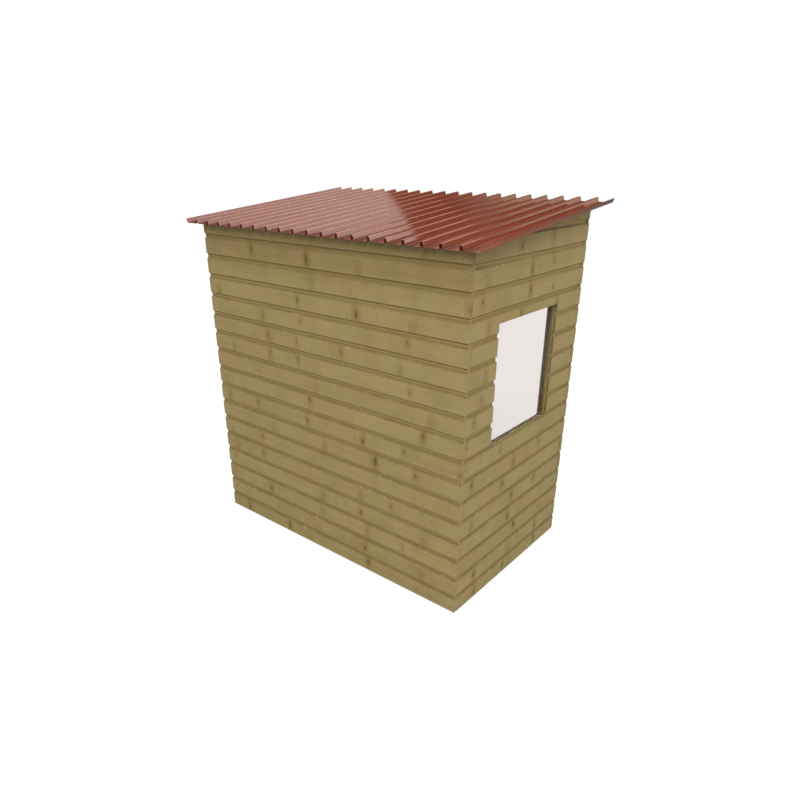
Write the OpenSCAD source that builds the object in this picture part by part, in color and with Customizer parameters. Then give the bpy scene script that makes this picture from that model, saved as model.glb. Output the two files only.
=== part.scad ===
// Small garden shed with a single-pitch roof of red ribbed sheet steel.
// Horizontal timber cladding on a square timber frame, a fixed window in the
// right end wall and an open doorway in the high front wall.
// Plan axes: x runs along the long walls, y from the low back wall to the
// high front wall, z up from the ground. The finished model has its origin
// on the ground under the middle of the whole outline.

/* [Walls] */
// Length of the shed outside the boards, along x
wall_length = 1993; // [1600:1:2600]
// Depth of the shed outside the boards, along y
wall_depth = 1206; // [1100:1:1800]
// Height of the low back wall at its outer face
back_height = 1990; // [1800:1:2100]
// Height of the high front wall at its outer face
front_height = 2113; // [2105:1:2300]
// Thickness of the cladding boards
board_thickness = 20; // [15:1:26]
// Side of the square framing timbers
frame_size = 45; // [38:1:60]

/* [Window] */
// Distance from the back wall's outer face to the window opening
window_offset = 276; // [250:1:330]
// Width of the window opening in the boards
window_width = 632; // [400:1:700]
// Height of the opening's lower edge above the ground
window_sill_height = 938; // [700:1:1050]
// Height of the window opening in the boards
window_height = 679; // [400:1:720]
// How far the boards cover the edge of the pane
pane_cover = 8; // [5:1:12]
// Thickness of the pane
pane_thickness = 4; // [3:0.5:6]
// Clearance between the pane's edge and the framing
pane_clearance = 2; // [1:0.5:3]
// Side of the square glazing beads behind the pane
bead_size = 12; // [8:1:18]

/* [Doorway] */
// Clear width of the doorway
door_width = 750; // [600:1:900]
// Clear height of the doorway
door_height = 1900; // [1750:1:1950]

/* [Roof] */
// Distance from one rib to the next
rib_pitch = 110; // [90:1:140]
// Height of a rib above the flat of the sheet
rib_height = 25; // [15:1:35]
// Width of the flat top of a rib
rib_crest = 12; // [10:1:30]
// Sideways run of a rib's flank
rib_flank = 6; // [4:1:12]
// Thickness of the roof sheet
sheet_thickness = 0.6; // [0.5:0.1:1]
// Width of crest left on the roof's two free side edges
edge_crest = 3; // [2:0.5:12]
// Overhang of the sheet past the right end wall
right_overhang = 55; // [40:1:120]
// Least overhang of the sheet past the left end wall
left_overhang_min = 135; // [60:1:140]
// Overhang of the sheet at the low back eave
back_overhang = 20; // [10:1:80]
// Overhang of the sheet at the high front eave
front_overhang = 192; // [100:1:260]
// Gap between a lapped sheet's edge and the flank of the sheet above it
lap_gap = 1; // [0.5:0.1:2]
// Depth of the purlin under the middle of the sheet
purlin_depth = 70; // [45:1:95]

/* [Hidden] */

// Pitch of the roof, and the height of the sheet's underside at any depth y
roof_pitch = atan((front_height - back_height) / wall_depth);
function roof_z(y) = back_height + y * tan(roof_pitch);
// Height of a sloping timber measured straight up
rail_rise = frame_size / cos(roof_pitch);
purlin_rise = purlin_depth / cos(roof_pitch);

// Faces of the framing, inside the boards
frame_x0 = board_thickness;
frame_x1 = wall_length - board_thickness;
frame_y0 = board_thickness;
frame_y1 = wall_depth - board_thickness;
// Faces of the end frames, which stand between the back and front frames
end_y0 = frame_y0 + frame_size;
end_y1 = frame_y1 - frame_size;
// Undersides of the level top plates
back_plate_z = roof_z(frame_y0) - frame_size;
front_plate_z = roof_z(end_y1) - frame_size;

// Window: the framed opening is larger than the one in the boards by the cover
window_y0 = window_offset;
window_y1 = window_offset + window_width;
window_z0 = window_sill_height;
window_z1 = window_sill_height + window_height;
glazed_y0 = window_y0 - pane_cover;
glazed_y1 = window_y1 + pane_cover;
glazed_z0 = window_z0 - pane_cover;
glazed_z1 = window_z1 + pane_cover;
pane_x1 = frame_x1;
pane_x0 = pane_x1 - pane_thickness;

// Doorway: its right jamb stands against the right corner post
door_x1 = frame_x1 - 2 * frame_size;
door_x0 = door_x1 - door_width;

// Roof: two equal sheets, lapped on the rib where they meet
edge_loss = rib_crest - 2 * edge_crest;
covered_width = wall_length + right_overhang + left_overhang_min + edge_loss;
ribs_per_sheet = ceil(covered_width / (2 * rib_pitch));
sheet_cover = ribs_per_sheet * rib_pitch;
roof_x1 = wall_length + right_overhang;
roof_x0 = roof_x1 - 2 * sheet_cover + edge_loss;
// Middles of the first, lapped and last ribs
first_rib_x = roof_x0 + edge_crest - rib_crest / 2;
lap_rib_x = first_rib_x + sheet_cover;
sheet_length = (back_overhang + wall_depth + front_overhang) / cos(roof_pitch);
flank_angle = atan(rib_height / rib_flank);
// Sideways shift of the sheet's upper corners, for an even thickness
corner_shift = sheet_thickness * tan(flank_angle / 2);

// Middle of the whole outline, which becomes the origin
lap_top = rib_height + 2 * sheet_thickness;
outline_y0 = -back_overhang - lap_top * sin(roof_pitch);
outline_y1 = wall_depth + front_overhang;
centre_x = (roof_x0 + roof_x1) / 2;
centre_y = (outline_y0 + outline_y1) / 2;

timber = [0.56, 0.51, 0.34];
sheet_red = [0.55, 0.23, 0.18];
clear_glass = [0.85, 0.9, 0.9, 0.35];

// ---- shared shapes ----

// Puts a piece drawn in plan axes into the finished model's frame
module placed() {
    translate([-centre_x, -centre_y, 0]) children();
}

// A square-cut block between two corners
module block(low, high) {
    placed() translate(low) cube(high - low);
}

// A prism along x between x0 and x1, with its outline given in y and z
module prism_x(x0, x1, outline) {
    placed() translate([x0, 0, 0]) rotate([90, 0, 90])
        linear_extrude(height = x1 - x0) polygon(outline);
}

// An upright piece whose top follows the roof, "drop" below the sheet
module under_roof(x0, x1, y0, y1, z0, drop = 0) {
    prism_x(x0, x1, [[y0, z0], [y1, z0], [y1, roof_z(y1) - drop], [y0, roof_z(y0) - drop]]);
}

// A timber that slopes with the roof, its top face against the sheet
module sloping_rail(x0, x1, y0, y1, rise) {
    prism_x(x0, x1, [[y0, roof_z(y0) - rise], [y1, roof_z(y1) - rise],
                     [y1, roof_z(y1)], [y0, roof_z(y0)]]);
}

// A stud of an end frame, at depth y0, between the sole plate and the top rail
module end_stud(x0, y0) {
    color(timber) under_roof(x0, x0 + frame_size, y0, y0 + frame_size, frame_size, rail_rise);
}

// A stud or post of the back frame, at x0
module back_upright(x0) {
    color(timber) block([x0, frame_y0, frame_size], [x0 + frame_size, end_y0, back_plate_z]);
}

// A stud or post of the front frame, at x0, standing at height z0
module front_upright(x0, z0) {
    color(timber) block([x0, end_y1, z0], [x0 + frame_size, frame_y1, front_plate_z]);
}

// Position number "step" of "steps" equal steps from a to b, for a timber's near face
function spaced(a, b, step, steps) = a + (b - a) * step / steps - frame_size / 2;

// ---- cladding ----

module back_cladding() {
    color(timber) under_roof(0, wall_length, 0, frame_y0, 0);
}
module left_cladding() {
    color(timber) under_roof(0, frame_x0, frame_y0, frame_y1, 0);
}
module right_cladding_below() {
    color(timber) block([frame_x1, frame_y0, 0], [wall_length, frame_y1, window_z0]);
}
module right_cladding_above() {
    color(timber) under_roof(frame_x1, wall_length, frame_y0, frame_y1, window_z1);
}
module right_cladding_rear() {
    color(timber) block([frame_x1, frame_y0, window_z0], [wall_length, window_y0, window_z1]);
}
module right_cladding_front() {
    color(timber) block([frame_x1, window_y1, window_z0], [wall_length, frame_y1, window_z1]);
}
module front_cladding_left() {
    color(timber) under_roof(0, door_x0, frame_y1, wall_depth, 0);
}
module front_cladding_right() {
    color(timber) under_roof(door_x1, wall_length, frame_y1, wall_depth, 0);
}
module front_cladding_over() {
    color(timber) under_roof(door_x0, door_x1, frame_y1, wall_depth, door_height);
}

// ---- back frame ----

module back_sole_plate() {
    color(timber) block([frame_x0, frame_y0, 0], [frame_x1, end_y0, frame_size]);
}
module back_top_plate() {
    color(timber) under_roof(frame_x0, frame_x1, frame_y0, end_y0, back_plate_z);
}
module back_post_left() { back_upright(frame_x0); }
module back_post_right() { back_upright(frame_x1 - frame_size); }
module back_stud_left() { back_upright(spaced(frame_x0, frame_x1, 1, 3)); }
module back_stud_right() { back_upright(spaced(frame_x0, frame_x1, 2, 3)); }

// ---- left end frame ----

module left_sole_plate() {
    color(timber) block([frame_x0, end_y0, 0], [frame_x0 + frame_size, end_y1, frame_size]);
}
module left_top_rail() {
    color(timber) sloping_rail(frame_x0, frame_x0 + frame_size, end_y0, end_y1, rail_rise);
}
module left_stud_rear() { end_stud(frame_x0, end_y0); }
module left_stud_middle() { end_stud(frame_x0, spaced(end_y0, end_y1, 1, 2)); }
module left_stud_front() { end_stud(frame_x0, end_y1 - frame_size); }

// ---- right end frame and window ----

module right_sole_plate() {
    color(timber) block([frame_x1 - frame_size, end_y0, 0], [frame_x1, end_y1, frame_size]);
}
module right_top_rail() {
    color(timber) sloping_rail(frame_x1 - frame_size, frame_x1, end_y0, end_y1, rail_rise);
}
module right_stud_rear() { end_stud(frame_x1 - frame_size, end_y0); }
module right_stud_front() { end_stud(frame_x1 - frame_size, end_y1 - frame_size); }
module window_stud_rear() { end_stud(frame_x1 - frame_size, glazed_y0 - frame_size); }
module window_stud_front() { end_stud(frame_x1 - frame_size, glazed_y1); }

// A rail across the window, its lower face at z0
module window_rail(z0) {
    color(timber) block([frame_x1 - frame_size, glazed_y0, z0],
                        [frame_x1, glazed_y1, z0 + frame_size]);
}
module window_sill_rail() { window_rail(glazed_z0 - frame_size); }
module window_head_rail() { window_rail(glazed_z1); }

module window_pane() {
    color(clear_glass)
        block([pane_x0, glazed_y0 + pane_clearance, glazed_z0 + pane_clearance],
              [pane_x1, glazed_y1 - pane_clearance, glazed_z1 - pane_clearance]);
}

// A glazing bead between two corners in y and z, against the back of the pane
module bead(y0, z0, y1, z1) {
    color(timber) block([pane_x0 - bead_size, y0, z0], [pane_x0, y1, z1]);
}
module window_bead_top() { bead(glazed_y0, glazed_z1 - bead_size, glazed_y1, glazed_z1); }
module window_bead_bottom() { bead(glazed_y0, glazed_z0, glazed_y1, glazed_z0 + bead_size); }
module window_bead_rear() {
    bead(glazed_y0, glazed_z0 + bead_size, glazed_y0 + bead_size, glazed_z1 - bead_size);
}
module window_bead_front() {
    bead(glazed_y1 - bead_size, glazed_z0 + bead_size, glazed_y1, glazed_z1 - bead_size);
}

// ---- front frame and doorway ----

module front_sole_plate() {
    color(timber) block([frame_x0, end_y1, 0], [door_x0 - frame_size, frame_y1, frame_size]);
}
module front_top_plate() {
    color(timber) under_roof(frame_x0, frame_x1, end_y1, frame_y1, front_plate_z);
}
module front_post_left() { front_upright(frame_x0, frame_size); }
module front_post_right() { front_upright(frame_x1 - frame_size, 0); }
module front_stud() { front_upright(spaced(frame_x0, door_x0, 1, 2), frame_size); }
module door_jamb_left() { front_upright(door_x0 - frame_size, 0); }
module door_jamb_right() { front_upright(door_x1, 0); }
module door_head() {
    color(timber) block([door_x0, end_y1, door_height], [door_x1, frame_y1, door_height + frame_size]);
}

// ---- roof ----

module middle_purlin() {
    y0 = spaced(end_y0, end_y1, 1, 2);
    color(timber) sloping_rail(frame_x0 + frame_size, frame_x1 - frame_size,
                               y0, y0 + frame_size, purlin_rise);
}

// Underside of one whole rib centred at x
function rib_under(x) = [
    [x - rib_crest / 2 - rib_flank, 0], [x - rib_crest / 2, rib_height],
    [x + rib_crest / 2, rib_height], [x + rib_crest / 2 + rib_flank, 0]
];
// Top side of the same rib
function rib_over(x) = [
    [x - rib_crest / 2 - rib_flank - corner_shift, sheet_thickness],
    [x - rib_crest / 2 - corner_shift, rib_height + sheet_thickness],
    [x + rib_crest / 2 + corner_shift, rib_height + sheet_thickness],
    [x + rib_crest / 2 + rib_flank + corner_shift, sheet_thickness]
];
function reversed(list) = [for (i = [len(list) - 1 : -1 : 0]) list[i]];

// A sheet from the rib at x_first to the rib at x_first + sheet_cover. It keeps
// "first_crest" of the first rib's top and "last_crest" of the last rib's, and
// the first rib is raised by "lift" where it lies on its neighbour.
module roof_sheet(x_first, first_crest, last_crest, lift = 0) {
    x_last = x_first + sheet_cover;
    crest_z = rib_height + lift;
    // Right end of the first crest, on the flank's own slope
    first_end = x_first + rib_crest / 2 - lift * rib_flank / rib_height;
    first_start = x_first + rib_crest / 2 - first_crest;
    last_end = x_last - rib_crest / 2 + last_crest;
    under = concat(
        [[first_start, crest_z], [first_end, crest_z],
         [x_first + rib_crest / 2 + rib_flank, 0]],
        [for (i = [1 : ribs_per_sheet - 1]) each rib_under(x_first + i * rib_pitch)],
        [[x_last - rib_crest / 2 - rib_flank, 0], [x_last - rib_crest / 2, rib_height],
         [last_end, rib_height]]
    );
    over = concat(
        [[first_start, crest_z + sheet_thickness],
         [first_end + corner_shift, crest_z + sheet_thickness],
         [x_first + rib_crest / 2 + rib_flank + corner_shift, sheet_thickness]],
        [for (i = [1 : ribs_per_sheet - 1]) each rib_over(x_first + i * rib_pitch)],
        [[x_last - rib_crest / 2 - rib_flank - corner_shift, sheet_thickness],
         [x_last - rib_crest / 2 - corner_shift, rib_height + sheet_thickness],
         [last_end, rib_height + sheet_thickness]]
    );
    color(sheet_red) placed()
        translate([0, -back_overhang, roof_z(-back_overhang)])
        rotate([roof_pitch, 0, 0]) translate([0, sheet_length, 0]) rotate([90, 0, 0])
        linear_extrude(height = sheet_length) polygon(concat(under, reversed(over)));
}
module roof_sheet_left() { roof_sheet(first_rib_x, edge_crest, rib_crest - lap_gap); }
module roof_sheet_right() { roof_sheet(lap_rib_x, rib_crest, edge_crest, sheet_thickness); }

back_cladding();
left_cladding();
right_cladding_below();
right_cladding_above();
right_cladding_rear();
right_cladding_front();
front_cladding_left();
front_cladding_right();
front_cladding_over();
back_sole_plate();
back_top_plate();
back_post_left();
back_post_right();
back_stud_left();
back_stud_right();
left_sole_plate();
left_top_rail();
left_stud_rear();
left_stud_middle();
left_stud_front();
right_sole_plate();
right_top_rail();
right_stud_rear();
right_stud_front();
window_stud_rear();
window_stud_front();
window_sill_rail();
window_head_rail();
window_pane();
window_bead_top();
window_bead_bottom();
window_bead_rear();
window_bead_front();
front_sole_plate();
front_top_plate();
front_post_left();
front_post_right();
front_stud();
door_jamb_left();
door_jamb_right();
door_head();
middle_purlin();
roof_sheet_left();
roof_sheet_right();
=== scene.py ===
"""Garden shed: the looks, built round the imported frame, in metres.

The walls' boards, the nails, the framing timbers, the ribbed roof sheets and the sealant round
the pane are meshes made here. Their places come from the frame's own nodes.
"""
import math
import random
from collections import namedtuple
from functools import partial

import bmesh
import bpy
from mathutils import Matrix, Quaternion, Vector


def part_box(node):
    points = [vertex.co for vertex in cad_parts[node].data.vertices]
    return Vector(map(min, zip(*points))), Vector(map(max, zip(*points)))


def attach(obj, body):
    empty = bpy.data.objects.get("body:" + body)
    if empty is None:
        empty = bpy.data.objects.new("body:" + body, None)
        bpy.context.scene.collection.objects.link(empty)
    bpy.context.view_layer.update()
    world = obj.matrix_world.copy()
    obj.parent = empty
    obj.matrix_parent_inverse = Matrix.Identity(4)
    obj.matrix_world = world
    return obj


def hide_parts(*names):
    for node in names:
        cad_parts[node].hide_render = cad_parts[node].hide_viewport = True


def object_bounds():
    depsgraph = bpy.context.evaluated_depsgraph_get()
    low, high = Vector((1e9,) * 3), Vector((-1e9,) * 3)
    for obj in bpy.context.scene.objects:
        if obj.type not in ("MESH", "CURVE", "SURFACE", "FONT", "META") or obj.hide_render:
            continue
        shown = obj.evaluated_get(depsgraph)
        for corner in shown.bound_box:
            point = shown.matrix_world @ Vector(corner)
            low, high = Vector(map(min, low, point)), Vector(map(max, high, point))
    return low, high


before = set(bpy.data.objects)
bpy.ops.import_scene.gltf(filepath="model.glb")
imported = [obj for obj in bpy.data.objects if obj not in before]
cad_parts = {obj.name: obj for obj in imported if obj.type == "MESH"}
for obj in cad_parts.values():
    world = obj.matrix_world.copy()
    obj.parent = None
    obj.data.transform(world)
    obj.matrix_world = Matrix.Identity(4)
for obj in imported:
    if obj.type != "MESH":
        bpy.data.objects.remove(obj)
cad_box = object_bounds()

# ---- sizes ----

BOARD_COVER = 0.121          # height of wall that one board covers
BOARD_COUNT = 18             # boards from the ground to above the highest eave
LIP_DROP = 0.003             # how far below the ground line the first lip would start
BOARD_THICK = 0.020
FACE_HEIGHT = 0.092          # flat face, from the lip up to the cove
COVE_TOP = 0.103             # where the cove has reached the recess
RECESS_DEPTH = 0.009
TONGUE_TOP = 0.130           # top edge of the board, behind the next board's lip
LIP_BACK = 0.0085            # back of the lip, just clear of the tongue below
LIP_REBATE = 0.010           # height of the lip's rebate
ARRIS = 0.0014               # worn chamfer along a board's edges
COVE_STEPS = 6
BOARD_END_WEAR = 0.0003      # a sawn end may stand this far short of the corner
BOARD_SINK = 0.0004          # a board may lie this far behind its neighbours
BUTT_GAP = 0.0002            # gap between an end wall's boards and the long walls' boards
ROOF_CLEARANCE = 0.0004      # gap between the boards and the sheet
CUTTER_REACH = 0.1           # how far an opening's cutter stands out past the wall
CORNER_ZONE = 0.040          # board ends this near a corner are no end at an opening
END_FACING = 0.9             # how nearly a board's end looks along the wall
BOARD_SHIFT = 0.10           # how far a board's pattern may slide along it
EAVE_SHADOW_SHARE = {"back": 0.58, "right": 0.0, "front": 0.30, "left": 0.0}     # how much painted shade each wall has just below its eave

TIMBER_ARRIS = 0.0022        # rounded edges of the framing timbers
BEAD_ARRIS = 0.0010
WELD = 0.00001               # corners of a node's mesh this near each other are one
TIMBER_SHIFT = 3.0           # how far a timber's pattern may slide along it
TIMBER_LABEL = 200           # keeps the timbers' numbers apart from the boards'

# Where each kind of random draws starts
BOARD_SEED = 100
GRAIN_SEED = 200
TIMBER_SEED = 500

NAIL_RADIUS = 0.0032
NAIL_RISE = 0.0007
NAIL_HEIGHTS = (0.015, 0.069)      # above a board's lip
NAIL_SIDES = 12
NAIL_SKIRT = 2 * BOARD_SINK        # how deep the head's side goes into the board
NAIL_DOME = ((1.0, 0.0), (0.72, 0.6), (0.35, 0.95))     # shares of the radius and the rise

RIB_CREST = 0.012
RIB_FLANK = 0.006
RIB_HEIGHT = 0.025
RIB_PITCH = 0.110
EDGE_CREST = 0.003           # what is left of a rib at a sheet's free side edge
LAPPED_CREST = RIB_CREST - 0.001     # the last rib that lies under the other sheet
SHEET_THICK = 0.0006
BEND_RADIUS = 0.0022
BEND_STEPS = 4
SHEET_LENGTHS = 14           # rows of faces along the slope
SHARPEST = 0.5               # limits how far a sharp corner moves when a line is moved sideways
COATED, CUT_EDGE, UNDERSIDE, VERGE = range(4)     # a sheet's materials

PANE_COVER = 0.006           # how far the pane itself reaches behind the boards
SEAL_LEG = 0.006
SEAL_GAP = 0.0001            # keeps the sealant's faces off the glass and the boards
SEAL_STEPS = 3

X_AXIS = Vector((1, 0, 0))
Y_AXIS = Vector((0, 1, 0))
Z_AXIS = Vector((0, 0, 1))


# ---- small mesh helpers ----

def object_from(bm, name, materials):
    """Turns a bmesh into a scene object with these materials."""
    mesh = bpy.data.meshes.new(name)
    bm.to_mesh(mesh)
    bm.free()
    piece = bpy.data.objects.new(name, mesh)
    bpy.context.scene.collection.objects.link(piece)
    for material in materials:
        mesh.materials.append(material)
    return piece


def belt(bm, near, far):
    """Joins two rings of vertices with faces, and gives them back in the rings' order."""
    following = list(range(1, len(near))) + [0]
    return [bm.faces.new((near[i], near[j], far[j], far[i])) for i, j in enumerate(following)]


def prism(bm, outline, place, start, end):
    """Adds a closed prism: "place" turns (along, x, y) into a point, and outline holds (x, y)."""
    near = [bm.verts.new(place(start, *point)) for point in outline]
    far = [bm.verts.new(place(end, *point)) for point in outline]
    belt(bm, near, far)
    bm.faces.new(list(reversed(near)))
    bm.faces.new(far)


def slice_off(bm, point, normal):
    """Cuts away what lies on the normal's side of a plane, and closes the cut."""
    everything = bm.verts[:] + bm.edges[:] + bm.faces[:]
    cut = bmesh.ops.bisect_plane(bm, geom=everything, plane_co=point, plane_no=normal,
                                 clear_outer=True)
    rim = [e for e in cut["geom_cut"] if isinstance(e, bmesh.types.BMEdge)]
    if rim:
        bmesh.ops.edgeloop_fill(bm, edges=rim)


def cut_opening(piece, low, high):
    """Cuts a box-shaped opening through a piece, for good."""
    bm = bmesh.new()
    outline = [(low.x, low.y), (high.x, low.y), (high.x, high.y), (low.x, high.y)]
    prism(bm, outline, lambda z, x, y: Vector((x, y, z)), low.z, high.z)
    bmesh.ops.recalc_face_normals(bm, faces=bm.faces[:])
    cutter = object_from(bm, "cutter", [])
    cut = piece.modifiers.new("opening", "BOOLEAN")
    cut.operation = "DIFFERENCE"
    cut.solver = "EXACT"
    cut.object = cutter
    bpy.context.view_layer.update()
    solved = piece.evaluated_get(bpy.context.evaluated_depsgraph_get())
    mesh = bpy.data.meshes.new_from_object(solved)
    piece.modifiers.clear()
    piece.data = mesh
    bpy.data.objects.remove(cutter)


def islands(bm):
    """Yields the vertices of each connected part of a bmesh."""
    unseen = set(bm.verts)
    while unseen:
        found, todo = [], [unseen.pop()]
        while todo:
            vert = todo.pop()
            found.append(vert)
            for edge in vert.link_edges:
                other = edge.other_vert(vert)
                if other in unseen:
                    unseen.remove(other)
                    todo.append(other)
        yield found


def dress(piece, nodes=()):
    """Hands a piece to the frame: it rides on the one body and stands for these nodes."""
    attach(piece, "root")
    if nodes:
        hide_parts(*nodes)
    return piece


# ---- walls of boards ----

# A wall's opening is the box that is cut out of its boards
Wall = namedtuple("Wall", "name origin along inward length nodes opening end_wear")


def find_walls():
    """The four walls, with their outer faces, lengths and openings taken from the frame."""
    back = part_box("back_cladding")
    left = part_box("left_cladding")
    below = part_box("right_cladding_below")
    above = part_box("right_cladding_above")
    beside_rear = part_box("right_cladding_rear")
    beside_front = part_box("right_cladding_front")
    front_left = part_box("front_cladding_left")
    front_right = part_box("front_cladding_right")
    front_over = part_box("front_cladding_over")
    window = (Vector((below[0].x - CUTTER_REACH, beside_rear[1].y, below[1].z)),
              Vector((below[1].x + CUTTER_REACH, beside_front[0].y, above[0].z)))
    doorway = (Vector((front_left[1].x, front_left[0].y - CUTTER_REACH, -CUTTER_REACH)),
               Vector((front_right[0].x, front_left[1].y + CUTTER_REACH, front_over[0].z)))
    end_length = left[1].y - left[0].y
    return [
        Wall("back", Vector((back[0].x, back[0].y, 0)), X_AXIS, Y_AXIS,
             back[1].x - back[0].x, ["back_cladding"], None, BOARD_END_WEAR),
        Wall("right", Vector((below[1].x, below[0].y, 0)), Y_AXIS, -X_AXIS, end_length,
             ["right_cladding_below", "right_cladding_above",
              "right_cladding_rear", "right_cladding_front"], window, 0),
        Wall("front", Vector((front_left[0].x, front_left[1].y, 0)), X_AXIS, -Y_AXIS,
             front_right[1].x - front_left[0].x,
             ["front_cladding_left", "front_cladding_right", "front_cladding_over"],
             doorway, BOARD_END_WEAR),
        Wall("left", Vector((left[0].x, left[0].y, 0)), Y_AXIS, X_AXIS, end_length,
             ["left_cladding"], None, 0),
    ]


def find_roof():
    """A point on the roof's underside, and the plane's normal and pitch."""
    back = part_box("back_cladding")[1]
    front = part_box("front_cladding_left")[1]
    pitch = math.atan2(front.z - back.z, front.y - back.y)
    return back, Vector((0, -math.sin(pitch), math.cos(pitch))), pitch


def board_outline():
    """Cross-section of a board, as (depth behind the outer face, height above its lip)."""
    cove = []
    for step in range(COVE_STEPS + 1):
        turn = math.pi / 2 * step / COVE_STEPS
        cove.append((RECESS_DEPTH * math.sin(turn),
                     COVE_TOP - (COVE_TOP - FACE_HEIGHT) * math.cos(turn)))
    return [(ARRIS, 0), (0, ARRIS), *cove,
            (RECESS_DEPTH, TONGUE_TOP - ARRIS), (RECESS_DEPTH + ARRIS, TONGUE_TOP),
            (BOARD_THICK, TONGUE_TOP), (BOARD_THICK, LIP_REBATE),
            (LIP_BACK, LIP_REBATE), (LIP_BACK, 0)]


def lip_height(board):
    """How high a board's lip is, counted from the ground up."""
    return board * BOARD_COVER - LIP_DROP


def board_point(wall, lift, sink, along, depth, height):
    """A point of a board whose lip has this lift, and which lies this far behind the others."""
    inward = wall.inward * min(depth + sink, BOARD_THICK)
    return wall.origin + wall.along * along + inward + Z_AXIS * (height + lift)


def build_boards(wall, number, material):
    """One wall's boards, cut to the roof and round the wall's opening, as one joined mesh."""
    chance = random.Random(BOARD_SEED + number)
    bm = bmesh.new()
    for board in range(BOARD_COUNT):
        place = partial(board_point, wall, lip_height(board), chance.uniform(0, BOARD_SINK))
        start = chance.uniform(0, wall.end_wear) or BUTT_GAP
        end = wall.length - (chance.uniform(0, wall.end_wear) or BUTT_GAP)
        prism(bm, board_outline(), place, start, end)
    bmesh.ops.recalc_face_normals(bm, faces=bm.faces[:])
    top, normal, _ = find_roof()
    slice_off(bm, top - normal * ROOF_CLEARANCE, normal)
    slice_off(bm, Vector((0, 0, 0)), -Z_AXIS)
    piece = object_from(bm, wall.name + "_boards", [material])
    if wall.opening:
        cut_opening(piece, *wall.opening)
    mark_boards(piece.data, wall, number)
    return dress(piece, wall.nodes)


def mark_boards(mesh, wall, number):
    """Writes what the wood's material reads: where on its board a point is and the board's
    number, how far it is below the roof, how much painted shade its wall has just below the
    eave, and the ends at an opening."""
    chance = random.Random(GRAIN_SEED + number)
    shifts = [chance.uniform(0, BOARD_SHIFT) for _ in range(BOARD_COUNT)]
    bm = bmesh.new()
    bm.from_mesh(mesh)
    plank = bm.verts.layers.float_vector.new("plank")
    label = bm.verts.layers.float.new("board")
    eave = bm.verts.layers.float.new("eave")
    eave_shadow = bm.verts.layers.float.new("eave_shadow")
    top, normal, pitch = find_roof()
    for verts in islands(bm):
        lowest = min(vert.co.z for vert in verts)
        board = round((lowest + LIP_DROP) / BOARD_COVER)
        for vert in verts:
            offset = vert.co - wall.origin
            vert[plank] = Vector((offset.dot(wall.along) + shifts[board],
                                  offset.dot(wall.inward), vert.co.z - lip_height(board)))
            vert[label] = board + BOARD_COUNT * number
            vert[eave] = (top - vert.co).dot(normal) / math.cos(pitch)
            vert[eave_shadow] = EAVE_SHADOW_SHARE[wall.name]
    reveal = bm.faces.layers.float.new("reveal")
    for face in bm.faces:
        along = (face.calc_center_median() - wall.origin).dot(wall.along)
        inside = CORNER_ZONE < along < wall.length - CORNER_ZONE
        is_end = abs(face.normal.dot(wall.along)) > END_FACING
        face[reveal] = 1.0 if inside and is_end else 0.0
    bm.to_mesh(mesh)
    bm.free()


# ---- nails ----

def build_nails(wall, stud_middles, material):
    """Two domed nail heads where each board crosses each of these studs."""
    top, normal, _ = find_roof()
    bm = bmesh.new()
    for along in stud_middles:
        for board in range(BOARD_COUNT):
            for height in NAIL_HEIGHTS:
                lift = lip_height(board) + height
                centre = wall.origin + wall.along * along + Z_AXIS * lift
                clear_of_roof = (top - centre).dot(normal) >= 2 * NAIL_RADIUS
                if clear_of_roof:
                    add_nail(bm, centre, wall.along, wall.inward)
    bmesh.ops.recalc_face_normals(bm, faces=bm.faces[:])
    piece = object_from(bm, wall.name + "_nails", [material])
    return dress(piece)


def add_nail(bm, centre, across, inward):
    """A shallow dome with a short skirt that goes into the board."""
    rings = [(1.0, NAIL_SKIRT)] + [(share, -rise * NAIL_RISE) for share, rise in NAIL_DOME]
    made = []
    for share, depth in rings:
        ring = []
        for side in range(NAIL_SIDES):
            turn = 2 * math.pi * side / NAIL_SIDES
            spread = across * math.cos(turn) + Z_AXIS * math.sin(turn)
            ring.append(bm.verts.new(centre + spread * NAIL_RADIUS * share + inward * depth))
        made.append(ring)
    for lower, upper in zip(made, made[1:]):
        belt(bm, lower, upper)
    bm.faces.new(made[0])
    bm.faces.new(made[-1])


# ---- framing timbers ----

def build_timber(node, number, arris, material):
    """A framing timber in the node's own shape, with rounded edges and grain along its length."""
    chance = random.Random(TIMBER_SEED + number)
    bm = bmesh.new()
    bm.from_mesh(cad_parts[node].data)
    bmesh.ops.remove_doubles(bm, verts=bm.verts[:], dist=WELD)
    bmesh.ops.dissolve_limit(bm, angle_limit=math.radians(1), verts=bm.verts[:],
                             edges=bm.edges[:])
    bmesh.ops.bevel(bm, geom=bm.edges[:], offset=arris, segments=2, profile=0.5,
                    affect="EDGES")
    bmesh.ops.recalc_face_normals(bm, faces=bm.faces[:])
    low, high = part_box(node)
    spans = high - low
    order = sorted(range(3), key=lambda axis: -spans[axis])
    shift = chance.uniform(0, TIMBER_SHIFT)
    plank = bm.verts.layers.float_vector.new("plank")
    label = bm.verts.layers.float.new("board")
    for vert in bm.verts:
        offset = vert.co - low
        vert[plank] = Vector((offset[order[0]] + shift, offset[order[1]], offset[order[2]]))
        vert[label] = number + TIMBER_LABEL
    piece = object_from(bm, "timber_" + node, [material])
    return dress(piece, [node])


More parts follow.
